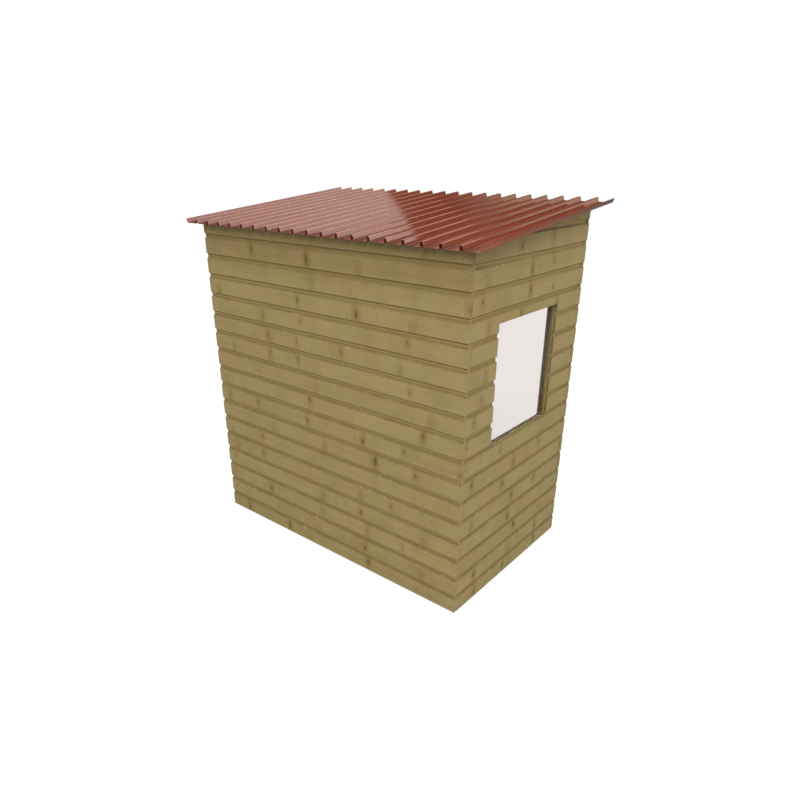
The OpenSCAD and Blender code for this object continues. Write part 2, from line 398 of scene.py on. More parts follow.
def build_seal(material):
    """A bead of sealant, its face drawn in, between the pane's outside and the boards' ends."""
    low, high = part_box("window_pane")
    edge = PANE_COVER - SEAL_GAP
    # The opening's corners, each with the way from it into the opening
    corners = ((low.y + edge, 1, low.z + edge, 1), (high.y - edge, -1, low.z + edge, 1),
               (high.y - edge, -1, high.z - edge, -1), (low.y + edge, 1, high.z - edge, -1))
    section = [(0.0, 0.0)]
    for step in range(SEAL_STEPS + 1):
        turn = math.pi / 2 * step / SEAL_STEPS
        section.append((SEAL_LEG * (1 - math.cos(turn)), SEAL_LEG * (1 - math.sin(turn))))
    bm = bmesh.new()
    rings = []
    for y, inward_y, z, inward_z in corners:
        rings.append([bm.verts.new((high.x + SEAL_GAP + out, y + inward_y * over,
                                    z + inward_z * over)) for out, over in section])
    for near, far in zip(rings, rings[1:] + rings[:1]):
        belt(bm, near, far)
    bmesh.ops.recalc_face_normals(bm, faces=bm.faces[:])
    return dress(object_from(bm, "glazing_seal", [material]))


# ---- roof sheets ----

def rounded_line(points, radius, steps):
    """A line of points with every inner corner turned into an arc."""
    line = [Vector(points[0])]
    for before, corner, after in zip(points, points[1:], points[2:]):
        corner = Vector(corner)
        back = (Vector(before) - corner).normalized()
        ahead = (Vector(after) - corner).normalized()
        half = back.angle(ahead) / 2
        reach = radius / math.tan(half)
        middle = corner + (back + ahead).normalized() * (radius / math.sin(half))
        first = corner + back * reach - middle
        last = corner + ahead * reach - middle
        swing = first.angle_signed(last)
        for step in range(steps + 1):
            turn = -swing * step / steps
            line.append(middle + Vector((first.x * math.cos(turn) - first.y * math.sin(turn),
                                         first.x * math.sin(turn) + first.y * math.cos(turn))))
    line.append(Vector(points[-1]))
    return line


def beside(line, distance):
    """The same line moved sideways, to its left."""
    moved = []
    for i, point in enumerate(line):
        before = line[max(i - 1, 0)]
        after = line[min(i + 1, len(line) - 1)]
        into = (point - before).normalized() if i else (after - point).normalized()
        out = (after - point).normalized() if i < len(line) - 1 else into
        normal = Vector((-(into + out).y, (into + out).x)).normalized()
        stretch = max(normal.dot(Vector((-into.y, into.x))), SHARPEST)
        moved.append(point + normal * distance / stretch)
    return moved


def sheet_line(low_x, high_x, first_crest, last_crest, lift):
    """Middle line of a sheet's cross-section, from its first rib's crest to its last one's."""
    flat = SHEET_THICK / 2
    crest = RIB_HEIGHT + SHEET_THICK / 2
    first_end = low_x + first_crest
    pan_starts = first_end + RIB_FLANK
    last_start = high_x - last_crest
    points = [(low_x, crest + lift), (first_end, crest + lift), (pan_starts, flat)]
    half = RIB_CREST / 2
    rib = pan_starts - RIB_FLANK - half + RIB_PITCH
    while rib + half < last_start - half:
        points += [(rib - half - RIB_FLANK, flat), (rib - half, crest),
                   (rib + half, crest), (rib + half + RIB_FLANK, flat)]
        rib += RIB_PITCH
    points += [(last_start - RIB_FLANK, flat), (last_start, crest), (high_x, crest)]
    return rounded_line(points, BEND_RADIUS, BEND_STEPS)


def build_sheet(node, first_crest, last_crest, lift, materials):
    """A ribbed roof sheet with real bends, laid on the roof's slope."""
    low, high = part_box(node)
    top, normal, pitch = find_roof()
    downhill = low.y + (RIB_HEIGHT + SHEET_THICK + lift) * math.sin(pitch)
    start = Vector((0, downhill, top.z + (downhill - top.y) * math.tan(pitch)))
    uphill = Vector((0, math.cos(pitch), math.sin(pitch)))
    length = (high.y - downhill) / math.cos(pitch)
    middle = sheet_line(low.x, high.x, first_crest, last_crest, lift)
    over = beside(middle, SHEET_THICK / 2)
    under = beside(middle, -SHEET_THICK / 2)
    outline = over + list(reversed(under))
    bm = bmesh.new()
    rows = []
    for step in range(SHEET_LENGTHS + 1):
        along = start + uphill * (length * step / SHEET_LENGTHS)
        rows.append([bm.verts.new(along + X_AXIS * p.x + normal * p.y) for p in outline])
    count = len(outline)
    # The face that turns up at the free side edge, seen from below
    verge = len(over) + BEND_STEPS + 1 if last_crest == EDGE_CREST else None
    for near, far in zip(rows, rows[1:]):
        for i, face in enumerate(belt(bm, near, far)):
            if i in (len(over) - 1, count - 1):
                face.material_index = CUT_EDGE
            elif i >= len(over):
                face.material_index = VERGE if i == verge else UNDERSIDE
            else:
                face.material_index = COATED
    for row in (rows[0], rows[-1]):
        for i in range(len(over) - 1):
            face = bm.faces.new((row[i], row[i + 1], row[count - 2 - i], row[count - 1 - i]))
            face.material_index = CUT_EDGE
    bmesh.ops.recalc_face_normals(bm, faces=bm.faces[:])
    piece = object_from(bm, node.replace("roof_", "ribbed_"), materials)
    return dress(piece, [node])


# ---- node trees ----

def srgb(red, green, blue):
    """A colour given as 0 to 255 display values, as the linear values that nodes use."""
    linear = []
    for value in (red / 255, green / 255, blue / 255):
        linear.append(value / 12.92 if value <= 0.04045 else ((value + 0.055) / 1.055) ** 2.4)
    return (*linear, 1.0)


class Tree:
    """A material's or the world's nodes, with short calls for the ones used here."""

    def __init__(self, owner):
        self.owner = owner
        owner.use_nodes = True
        self.tree = owner.node_tree
        self.tree.nodes.clear()

    def add(self, kind, inputs=None, **settings):
        """Adds a node, sets its properties, and fills or links its inputs."""
        node = self.tree.nodes.new("ShaderNode" + kind)
        for key, value in settings.items():
            setattr(node, key, value)
        for key, value in (inputs or {}).items():
            if isinstance(value, bpy.types.NodeSocket):
                self.tree.links.new(value, node.inputs[key])
            else:
                node.inputs[key].default_value = value
        return node

    def math(self, operation, *values):
        """The result of one Math node."""
        return self.add("Math", dict(enumerate(values)), operation=operation).outputs[0]

    def vector(self, operation, *values):
        """The vector that one Vector Math node gives."""
        return self.add("VectorMath", dict(enumerate(values)), operation=operation).outputs[0]

    def split(self, vector):
        """A vector's three numbers."""
        return self.add("SeparateXYZ", {0: vector}).outputs

    def join(self, x, y, z=0.0):
        """Three numbers as a vector."""
        return self.add("CombineXYZ", {0: x, 1: y, 2: z}).outputs[0]

    def attribute(self, name):
        """A number that the mesh carries, or 0 where it carries none."""
        return self.add("Attribute", attribute_name=name).outputs["Fac"]

    def point(self):
        """Where on the piece a point is. Pieces aren't moved, so it is also its place."""
        return self.add("TexCoord").outputs["Object"]

    def noise(self, vector, scale, detail=2.0, roughness=0.5):
        """Noise with a scale for each axis, per metre. It has the outputs Fac and Color."""
        stretched = self.vector("MULTIPLY", vector, scale)
        return self.add("TexNoise", {"Vector": stretched, "Scale": 1.0, "Detail": detail,
                                     "Roughness": roughness}).outputs

    def step(self, value, low, high, at_low=0.0, at_high=1.0):
        """A smooth step from at_low to at_high as value goes from low to high."""
        inputs = {"Value": value, "From Min": low, "From Max": high,
                  "To Min": at_low, "To Max": at_high}
        return self.add("MapRange", inputs, interpolation_type="SMOOTHSTEP").outputs[0]

    def mix(self, share, first, second):
        """The first colour with a share of the second one."""
        inputs = {0: share, 6: first, 7: second}
        return self.add("Mix", inputs, data_type="RGBA").outputs[2]

    def coat(self, colour, layers):
        """A colour with layers over it, each a share and the colour that it adds."""
        for share, layer in layers:
            colour = self.mix(share, colour, layer)
        return colour

    def seen(self):
        """1 for rays that look at the white backdrop, and 0 for light that it casts."""
        path = self.add("LightPath").outputs
        clear = self.math("MAXIMUM", path["Is Glossy Ray"], path["Is Transmission Ray"])
        return self.math("MAXIMUM", path["Is Camera Ray"], clear)

    def principled(self, inputs, bump=None):
        """Closes the tree with a Principled surface, and a Bump node where inputs are given."""
        if bump:
            inputs = {**inputs, "Normal": self.add("Bump", bump).outputs[0]}
        return self.finish(self.add("BsdfPrincipled", inputs).outputs[0])

    def finish(self, surface, kind="OutputMaterial"):
        """Closes the tree with its output, and gives back the material or world."""
        self.add(kind, {"Surface": surface})
        return self.owner


def new_tree(name):
    """The empty node tree of a new material."""
    return Tree(bpy.data.materials.new(name))


# ---- wood ----

Wood = namedtuple("Wood", "name face warm green pale dark stain knot outdoors roughness")

TREATED_BOARDS = Wood(
    "treated_boards", face=srgb(147, 131, 86), warm=srgb(152, 127, 88),
    green=srgb(141, 133, 80), pale=srgb(158, 143, 97), dark=srgb(116, 99, 58),
    stain=srgb(122, 100, 56), knot=srgb(90, 78, 42), outdoors=True, roughness=0.66)
# Darkened a little as painted shade on the studs' sides behind the glass
PLANED_TIMBER = Wood(
    "planed_timber", face=srgb(145, 129, 90), warm=srgb(154, 130, 94),
    green=srgb(138, 133, 89), pale=srgb(162, 148, 109), dark=srgb(120, 102, 64),
    stain=srgb(132, 104, 64), knot=srgb(98, 76, 46), outdoors=False, roughness=0.60)
# Paler than the framing: painted light on beads that get little light behind the glass
GLAZING_BEADS = Wood(
    "glazing_beads", face=srgb(178, 166, 118), warm=srgb(184, 162, 120),
    green=srgb(170, 166, 116), pale=srgb(190, 180, 136), dark=srgb(148, 132, 86),
    stain=srgb(150, 122, 80), knot=srgb(110, 88, 56), outdoors=False, roughness=0.60)

PAINTED_RECESS_LIGHT = srgb(154, 136, 82)       # painted light: the recess paler than its real shade under the next lip
LIP_SHADOW_COLOUR = srgb(100, 80, 32)            # painted shadow at the top of the recess, under the next lip
EDGE_HIGHLIGHT = srgb(190, 178, 138)         # painted highlight along the upper edge of a board's face
# Painted shade below the roof, partly standing for darker top boards
PAINTED_EAVE_SHADE = srgb(92, 74, 44)
REVEAL_SHADE = srgb(92, 86, 46)
DUST_AND_LIGHT = srgb(186, 174, 142)           # pale dust on what lies level indoors, also painted light on these faces
LEVEL_SHADE_OUTSIDE = srgb(112, 102, 70)       # painted shade on what lies level outside, as on the sill
LEVEL_DUST_AND_SHADING = 0.60                    # how much of the level faces' colour covers the wood

BOARD_OFFSETS = (31.0, 17.0, 23.0)   # how far apart two boards' patterns may be
WHORL_SPACING = 0.40                 # between the whorls of knots along a board
WHORL_ROW = 0.124                    # height of wall that one row of whorls has
HAS_KNOT = (0.46, 0.50)              # a whorl has one where its draw is above this
HAS_BAND = (0.30, 0.80)
KNOT_RADIUS = 0.0045
KNOT_SPREAD = 0.0090                 # how much larger the largest knot is
KNOT_WOBBLE = 0.008                  # how far a knot's outline strays
KNOT_EDGE = (0.7, 1.35)              # where its edge starts and ends, in radii
HALO_EDGE = (1.0, 4.5)
BAND_WIDTH = 0.006
BAND_SPREAD = 0.040
BAND_EDGE = (0.2, 1.6)               # in widths
BAND_FADE = (0.020, 0.080)           # from its middle, up and down the board
PIN_SPACING = 0.26                   # as for the whorls, but of pin knots
PIN_ROW = 0.062
HAS_PIN = (0.70, 0.72)
PIN_EDGE = (0.0022, 0.0042)          # where a pin knot's edge starts and ends
PIN_SHADE = 0.45                     # a pin knot's colour, as a share of a knot's
RING_SCALE = 62.0                    # growth rings about 5 mm apart
GRAIN_DEPTH = 0.0007

FRONT_DEPTH = (0.0015, 0.0030)     # how deep under a board's skin its front's painted light and shade reach
COVE_STARTS = (0.086, 0.096)         # heights above a board's lip
RECESS_STARTS = (0.101, 0.107)
LIP_SHADOW_STARTS = (0.1125, 0.1165)
EDGE_WIDTH = (0.0015, 0.0045)        # of the painted highlight along the upper edge
FAINT_GROOVE_SHADING = (0.05, 0.45)             # below the roof, where the grooves' painted shade and light are fainter
EAVE_SHADE = (0.06, 0.36)            # below the roof, where the wider painted shade fades
EAVE_SHADOW_REACH = (0.0, 0.090)             # below the roof, where a wall's painted shade is darkest
LEVEL = (0.6, 0.9)                   # how much a surface looks up, for the colour laid on level faces

# Noises: the scale along, through and up the board per metre, then the detail and roughness
FIBRES = ((7.0, 420.0, 420.0), 3.0, 0.6)
STREAKS = ((1.6, 60.0, 60.0), 3.0, 0.55)
TONE = ((9.0, 3.0, 3.0), 3.0, 0.6)
PATCH = ((4.0, 9.0, 9.0), 1.0)
WANDER = ((1.3, 9.0, 9.0),)          # of the growth rings
WOBBLE = ((70.0, 70.0, 70.0),)       # of a knot's outline
RAGGED = ((30.0, 45.0, 45.0),)       # the brown bands' edges
# Unevenness of the grooves' painted shade and light
GROOVE_SHADING_NOISE = ((7.0, 5.0, 5.0), 3.0, 0.6)
# Patches of the upper edge's painted highlight
HIGHLIGHT_PATCHES = ((38.0, 90.0, 90.0),)

# Soft patches, each with its colour's name, where in the noise it starts and ends, and its share
PATCHES = (("warm", 0.50, 0.70, 0.80), ("green", 0.50, 0.72, 0.70), ("pale", 0.50, 0.80, 0.40))

# What find_knots gives: three masks, and how dark the spots are
Knots = namedtuple("Knots", "spot halo band strength")


def find_knots(t, along, height, board, place):
    """Whorls: the knots' spots and halos, and the brown bands across the board at some."""
    cells = t.join(t.math("DIVIDE", along, WHORL_SPACING),
                   t.math("ADD", t.math("DIVIDE", height, WHORL_ROW), board))
    whorl = t.add("TexVoronoi", {"Vector": cells, "Scale": 1.0, "Randomness": 0.55},
                  voronoi_dimensions="2D").outputs
    away = t.split(t.vector("MULTIPLY", t.vector("SUBTRACT", cells, whorl["Position"]),
                            (WHORL_SPACING, WHORL_ROW, 0.0)))
    odds = t.split(whorl["Color"])

    ragged = t.noise(place, *RAGGED)["Fac"]
    width = t.math("MULTIPLY_ADD", ragged, BAND_SPREAD, BAND_WIDTH)
    across = t.step(t.math("DIVIDE", t.math("ABSOLUTE", away[0]), width), *BAND_EDGE, 1, 0)
    fading = t.step(t.math("ABSOLUTE", away[1]), *BAND_FADE, 1.0, 0.25)
    has_band = t.step(odds[0], *HAS_BAND)
    band = t.math("MULTIPLY", across, t.math("MULTIPLY", has_band, fading))

    tall = t.math("MULTIPLY_ADD", odds[2], -0.45, 0.80)
    wobble = t.vector("SUBTRACT", t.noise(place, *WOBBLE)["Color"], (0.5, 0.5, 0.5))
    outline = t.vector("ADD", t.join(away[0], t.math("MULTIPLY", away[1], tall)),
                       t.vector("MULTIPLY", wobble, (KNOT_WOBBLE, KNOT_WOBBLE, 0.0)))
    reach = t.add("VectorMath", {0: outline}, operation="LENGTH").outputs["Value"]
    chance = t.math("FRACT", t.math("MULTIPLY", odds[1], 7.0))
    radii = t.math("DIVIDE", reach, t.math("MULTIPLY_ADD", chance, KNOT_SPREAD, KNOT_RADIUS))
    has_knot = t.step(odds[1], *HAS_KNOT)
    return Knots(spot=t.math("MULTIPLY", has_knot, t.step(radii, *KNOT_EDGE, 1, 0)),
                 halo=t.math("MULTIPLY", has_knot, t.step(radii, *HALO_EDGE, 1, 0)),
                 band=band, strength=t.math("MULTIPLY_ADD", odds[0], 0.55, 0.35))


def find_pin_knots(t, along, height, board):
    """Pin knots, smaller and darker than a whorl's."""
    cells = t.join(t.math("DIVIDE", along, PIN_SPACING),
                   t.math("ADD", t.math("DIVIDE", height, PIN_ROW),
                          t.math("MULTIPLY", board, 3.0)))
    pin = t.add("TexVoronoi", {"Vector": cells, "Scale": 1.0}, voronoi_dimensions="2D").outputs
    away = t.vector("MULTIPLY", t.vector("SUBTRACT", cells, pin["Position"]),
                    (PIN_SPACING, PIN_ROW, 0.0))
    reach = t.add("VectorMath", {0: away}, operation="LENGTH").outputs["Value"]
    has_pin = t.step(t.split(pin["Color"])[0], *HAS_PIN)
    return t.math("MULTIPLY", has_pin, t.step(reach, *PIN_EDGE, 1, 0))


def find_late_wood(t, plank, place, draws, halo):
    """The dark part of growth rings round a heart behind the board, pushed aside by knots."""
    wander = t.noise(place, *WANDER)["Color"]
    drift = t.vector("MULTIPLY", t.vector("SUBTRACT", wander, (0.5, 0.5, 0.5)),
                     (0.0, 0.030, 0.050))
    heart = t.join(0.0, t.math("MULTIPLY_ADD", draws[0], 0.05, 0.015),
                   t.math("MULTIPLY_ADD", draws[1], -0.09, -0.015))
    pushed = t.join(0.0, t.math("MULTIPLY", halo, 0.006))
    centred = t.vector("ADD", t.vector("ADD", plank, heart), t.vector("ADD", drift, pushed))
    rings = t.add("TexWave", {"Vector": centred, "Scale": RING_SCALE, "Distortion": 0.6,
                              "Detail": 2.0, "Detail Scale": 0.6},
                  wave_type="RINGS", rings_direction="X", wave_profile="SAW").outputs["Fac"]
    return t.math("POWER", rings, 3.0)


def find_outside(t, depth, height):
    """1 at a board's front, where light and shade are painted, 0 deeper in, as on its cut ends and
    its back.
    """
    curve = t.math("DIVIDE", t.math("SUBTRACT", COVE_TOP, height), COVE_TOP - FACE_HEIGHT)
    curve = t.add("Clamp", {0: curve}).outputs[0]
    skin = t.math("MULTIPLY", RECESS_DEPTH,
                  t.math("SQRT", t.math("SUBTRACT", 1.0, t.math("MULTIPLY", curve, curve))))
    return t.step(t.math("SUBTRACT", depth, skin), *FRONT_DEPTH, 1, 0)


def painted_light_and_shade(t, wood, colour, depth, height, place, level):
    """Painted light and shade on a board: shade in the cove and under the next lip, a paler
    recess, a highlight along its upper edge in places, shade under the eave, partly darker top
    boards, and shade on level faces outside and on the ends at an opening."""
    outside = find_outside(t, depth, height)
    eave = t.attribute("eave")
    eave_shadow = t.attribute("eave_shadow")
    uneven = t.step(t.noise(place, *GROOVE_SHADING_NOISE)["Fac"], 0.35, 0.65, 0.75, 1.10)
    # where the grooves' painted shade and light show, fainter just below the roof
    marked = t.math("MULTIPLY", t.math("MULTIPLY", outside, uneven),
                    t.step(eave, *FAINT_GROOVE_SHADING, 0.65, 1.0))
    cove = t.math("MULTIPLY", t.step(height, *COVE_STARTS, 0, 0.85),
                  t.step(height, *RECESS_STARTS, 1, 0))
    off_edge = t.math("ABSOLUTE", t.math("SUBTRACT", height, FACE_HEIGHT))
    edge = t.math("MULTIPLY", t.step(off_edge, *EDGE_WIDTH, 1, 0), outside)
    highlit_patches = t.step(t.noise(place, *HIGHLIGHT_PATCHES)["Fac"], 0.62, 0.70, 0, 0.60)
    shaded = t.math("MULTIPLY_ADD", eave_shadow, 0.40, 0.13)
    lying = t.math("MULTIPLY", level, t.math("SUBTRACT", 1.0, outside))
    return t.coat(colour, (
        # painted shade in the cove
        (t.math("MULTIPLY", marked, cove), wood.dark),
        # painted light: the recess paler than its real shade
        (t.math("MULTIPLY", marked, t.step(height, *RECESS_STARTS, 0, 0.73)), PAINTED_RECESS_LIGHT),
        # painted shadow under the next lip
        (t.math("MULTIPLY", marked, t.step(height, *LIP_SHADOW_STARTS, 0, 0.78)), LIP_SHADOW_COLOUR),
        # painted highlight along the upper edge, in patches
        (t.math("MULTIPLY", edge, highlit_patches), EDGE_HIGHLIGHT),
        # painted shade below the roof, partly standing for darker top boards
        (t.math("MULTIPLY", shaded, t.step(eave, *EAVE_SHADE, 1, 0)), PAINTED_EAVE_SHADE),
        # painted shade on level faces outside, as on the sill
        (t.math("MULTIPLY", lying, LEVEL_DUST_AND_SHADING), LEVEL_SHADE_OUTSIDE),
        (t.math("MULTIPLY", t.attribute("reveal"), 0.55), REVEAL_SHADE),
        # painted shade just below the roof, on the walls given it
        (t.math("MULTIPLY", eave_shadow, t.step(eave, *EAVE_SHADOW_REACH, 1, 0)), PAINTED_EAVE_SHADE)))


def wood_material(wood):
    """Solid softwood that follows each board: rings, fibres, whorls of knots and stains.

    It reads "plank" (along, depth, height in metres) and "board" (a number for each board)."""
    t = new_tree(wood.name)
    plank = t.add("Attribute", attribute_name="plank").outputs["Vector"]
    board = t.attribute("board")
    along, depth, height = t.split(plank)
    chance = t.add("TexWhiteNoise", {"W": board}, noise_dimensions="1D").outputs["Color"]
    draws = t.split(chance)
    place = t.vector("ADD", plank, t.vector("MULTIPLY", chance, BOARD_OFFSETS))

    knots = find_knots(t, along, height, board, place)
    pins = find_pin_knots(t, along, height, board)
    late_wood = find_late_wood(t, plank, place, draws, knots.halo)
    fibres = t.noise(place, *FIBRES)["Fac"]
    streaks = t.noise(place, *STREAKS)["Fac"]
    tone = t.noise(place, *TONE)["Fac"]

    pin_colour = (*[PIN_SHADE * part for part in wood.knot[:3]], 1.0)
    colour = t.mix(t.math("MULTIPLY", draws[2], 0.35), wood.face, wood.pale)
    patches = t.split(t.noise(place, *PATCH)["Color"])
    colour = t.coat(colour, [(t.step(patch, low, high, 0, share), getattr(wood, name))
                             for patch, (name, low, high, share) in zip(patches, PATCHES)])
    colour = t.coat(colour, (
        (t.step(tone, 0.42, 0.68, 0, 0.22), wood.dark),
        (t.math("MULTIPLY", late_wood, 0.11), wood.dark),
        (t.step(streaks, 0.45, 0.75, 0, 0.22), wood.dark),
        (t.step(fibres, 0.35, 0.75, 0, 0.11), wood.dark),
        (t.math("MULTIPLY", knots.band, 0.50), wood.stain),
        (t.math("MULTIPLY", knots.halo, 0.34), wood.stain),
        (t.math("MULTIPLY", knots.spot, knots.strength), wood.knot),
        (t.math("MULTIPLY", pins, 0.70), pin_colour)))
    level = t.step(t.split(t.add("NewGeometry").outputs["Normal"])[2], *LEVEL)
    # Painted light and shade on the boards
    if wood.outdoors:
        colour = painted_light_and_shade(t, wood, colour, depth, height, place, level)
    else:
        # pale dust on level faces indoors, also painted light on them
        colour = t.mix(t.math("MULTIPLY", level, LEVEL_DUST_AND_SHADING), colour, DUST_AND_LIGHT)

    relief = t.math("MULTIPLY", fibres, 0.35)
    relief = t.math("SUBTRACT", relief, t.math("MULTIPLY", late_wood, 0.20))
    relief = t.math("ADD", relief, t.math("MULTIPLY", knots.spot, 0.8))
    relief = t.math("SUBTRACT", relief, pins)
    rough = t.math("MULTIPLY_ADD", fibres, 0.14, wood.roughness)
    return t.principled({"Base Color": colour, "Roughness": rough, "Specular IOR Level": 0.15},
                        {"Strength": 0.45, "Distance": GRAIN_DEPTH, "Height": relief})


# ---- steel, glass and sealant ----

PAINT = srgb(129, 66, 47)
PAINT_FADED = srgb(136, 73, 53)
PAINT_DARK = srgb(106, 48, 33)
# The pans' colour near the low eave, darker than the coating
PAN_LOW_END_COLOUR = srgb(88, 46, 33)
PAN_TOP = (0.002, 0.010)             # above the roof's plane, where a pan turns into a rib
PAN_DARK_REACH = (0.02, 0.22)        # along the sheet from its low end, where the darker pans end
PAINT_GRAIN = 0.0004
GLASS_INDEX = 1.08                   # less than real glass, so the thin pane hardly mirrors


def paint_material():
    """Red coating on the sheets, slightly uneven, darker where the pans end at the low eave."""
    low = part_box("roof_sheet_left")[0]
    top, normal, _ = find_roof()
    t = new_tree("red_sheet_coating")
    point = t.point()
    height = t.add("VectorMath", {0: point, 1: tuple(normal)},
                   operation="DOT_PRODUCT").outputs["Value"]
    base = top.dot(normal)
    pan = t.step(height, *[base + rise for rise in PAN_TOP], 1, 0)
    low_end = t.step(t.split(point)[1], *[low.y + reach for reach in PAN_DARK_REACH], 1, 0)
    marked = t.math("MULTIPLY", pan, low_end)
    cloud = t.noise(point, (2.2, 1.4, 2.2), 4.0, 0.55)["Fac"]
    grain = t.noise(point, (90.0, 90.0, 90.0))["Fac"]
    colour = t.coat(PAINT, ((t.step(cloud, 0.30, 0.72), PAINT_FADED),
                            (t.step(grain, 0.35, 0.80, 0, 0.18), PAINT_DARK),
                            (t.math("MULTIPLY", marked, 0.80), PAN_LOW_END_COLOUR)))
    rough = t.math("MULTIPLY_ADD", cloud, 0.04, 0.03)
    rough = t.math("MULTIPLY_ADD", marked, 0.12, rough)
    return t.principled({"Base Color": colour, "Roughness": rough, "IOR": 1.5},
                        {"Strength": 0.03, "Distance": PAINT_GRAIN, "Height": grain})


def underside_material(name, base, cloudy, high_end):
    """Dull backing coat under the sheets, a little mottled, changing colour towards the high eave.
    """
    low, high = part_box("roof_sheet_right")
    t = new_tree(name)
    point = t.point()
    cloud = t.noise(point, (14.0, 5.0, 14.0), 4.0, 0.6)["Fac"]
    colour = t.coat(base, ((t.step(cloud, 0.35, 0.70), cloudy),
                           (t.step(t.split(point)[1], low.y, high.y), high_end)))
    rough = t.math("MULTIPLY_ADD", cloud, 0.15, 0.55)
    return t.principled({"Base Color": colour, "Roughness": rough, "Specular IOR Level": 0.05})


def glass_material():
    """Clear pane, a little darker towards its bottom edge."""
    low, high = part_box("window_pane")
    t = new_tree("window_glass")
    point = t.point()
    cloud = t.noise(point, (3.0, 3.0, 3.0), 3.0)["Fac"]
    lower_tint = t.math("MULTIPLY_ADD", cloud, 0.3, t.step(t.split(point)[2], low.z, high.z, 0.85, 0))
    tint = t.mix(lower_tint, srgb(229, 222, 220), srgb(224, 219, 215))
    return t.principled({"Base Color": tint, "Roughness": 0.0, "IOR": GLASS_INDEX,
                         "Transmission Weight": 1.0})


def mottled_material(name, noise, ends, clean, dirty, roughness, **inputs):
    """A small part's surface, clean to dirty in spots.

    The noise is given as its scale, detail and roughness, then where in it the spots start and
    end. The surface's roughness is given where the noise is 0 and where it is 1."""
    scale, *noise_shape = noise
    t = new_tree(name)
    spots = t.noise(t.point(), (scale, scale, scale), *noise_shape)["Fac"]
    colour = t.mix(t.step(spots, *ends), clean, dirty)
    rough = t.math("MULTIPLY_ADD", spots, roughness[1] - roughness[0], roughness[0])
    return t.principled({"Base Color": colour, "Roughness": rough, **inputs})


# ---- floor, light and camera ----

WHITE = (1, 1, 1, 1)
FLOOR_SIZE = 60.0
FLOOR_SHADOW = 0.25          # how much of the real shading the pale floor shows
FLOOR_GLOW = 1.2
FLOOR_COLOUR = (0.75, 0.75, 0.75, 1)
WORLD_LIGHT = 0.735          # what the sky gives to matt surfaces
KEY_POWER = 830.0
KEY_SIZE = 4.0
KEY_OFFSET = Vector((5.1, -5.25, 8.5))     # from the middle of the shed

CAMERA_PLACE = (2.616, -3.154, 2.364)
CAMERA_TURN = 39.55          # degrees from the back wall's normal towards the window's end
CAMERA_RISE = 24.57          # degrees that it looks down
CAMERA_ROLL = 0.156
CAMERA_LENS = 28.54          # mm
SENSOR_WIDTH = 36.0          # mm
CAMERA_SHIFT = (0.010, 0.060)

CARD_DISTANCE = 100.0        # far enough that every rib mirrors the same edge
CARD_STEP = 2.0              # degrees between a card's columns

# What the coated ribs mirror: behind to the right a softbox, a dark gap and a second, weak
# softbox, behind to the left a warm wall, and between them a dark hill. A column is a heading,
# in degrees from +Y towards +X, and the two rises, in degrees above the horizon, between which
# the card stands there. A higher layer stands in front, and a card may fade in between two
# headings.
Card = namedtuple("Card", "name layer colour strength columns fade", defaults=[None])
CARDS = (
    Card("softbox", 0, (1, 0.93, 0.88, 1), 3.5, ((40, 1, 32), (68, 1, 32))),
    Card("warm_wall", 0, (1, 0.62, 0.46, 1), 0.9, ((-72, -1, 45), (-18, -1, 45))),
    Card("bright_wall", 1, (1, 0.70, 0.55, 1), 1.6, ((-72, -1, 45), (-41, -1, 45))),
    Card("dark_hill", 2, (1, 0.85, 0.70, 1), 0.08,
         ((-40, -1, 11), (-36, -1, 14), (-33.5, -1, 16), (-25, -1, 33.5), (2, -1, 41.5),
          (26, -1, 31), (31, -1, 29))),
    Card("weak_softbox", 4, (1, 0.94, 0.72, 1), 1.35, ((12, 1, 14.5), (36, 1, 14.5))),
    Card("dark_gap", 5, WHITE, 0.03, ((29, 1, 32), (40, 1, 32)), fade=(30.5, 35.5)),
)


def build_floor():
    """A plain pale floor. Part of it is its own light, so it stays white and its shadow soft."""
    half = FLOOR_SIZE / 2
    bm = bmesh.new()
    corners = [(-half, -half), (half, -half), (half, half), (-half, half)]
    bm.faces.new([bm.verts.new((x, y, 0)) for x, y in corners])
    t = new_tree("pale_floor")
    share = t.math("MULTIPLY", t.seen(), 1 - FLOOR_SHADOW)
    plain = t.add("BsdfDiffuse", {"Color": FLOOR_COLOUR}).outputs[0]
    glow = t.add("Emission", {"Color": WHITE, "Strength": FLOOR_GLOW}).outputs[0]
    material = t.finish(t.add("MixShader", {0: share, 1: plain, 2: glow}).outputs[0])
    object_from(bm, "floor", [material])


def build_world():
    """White all round: full strength where it is seen, a little less where it lights."""
    world = bpy.data.worlds.new("white_studio")
    bpy.context.scene.world = world
    t = Tree(world)
    strength = t.step(t.seen(), 0.0, 1.0, WORLD_LIGHT, 1.0)
    background = t.add("Background", {"Color": WHITE, "Strength": strength}).outputs[0]
    t.finish(background, "OutputWorld")


def build_key_light():
    """A wide key light that looks at both near walls alike."""
    key = bpy.data.lights.new("key_light", "AREA")
    key.shape = "SQUARE"
    key.size = KEY_SIZE
    key.energy = KEY_POWER
    lamp = bpy.data.objects.new("key_light", key)
    bpy.context.scene.collection.objects.link(lamp)
    lamp.location = (cad_box[0] + cad_box[1]) / 2 + KEY_OFFSET
    lamp.rotation_mode = "QUATERNION"
    lamp.rotation_quaternion = (-KEY_OFFSET).to_track_quat("-Z", "Y")
    lamp.visible_glossy = False
    lamp.visible_camera = False


def arc_columns(columns):
    """The same columns with others between them, at most CARD_STEP degrees apart."""
    dense = [columns[0]]
    for near, far in zip(columns, columns[1:]):
        steps = math.ceil((far[0] - near[0]) / CARD_STEP)
        for step in range(1, steps + 1):
            dense.append([a + (b - a) * step / steps for a, b in zip(near, far)])
    return dense


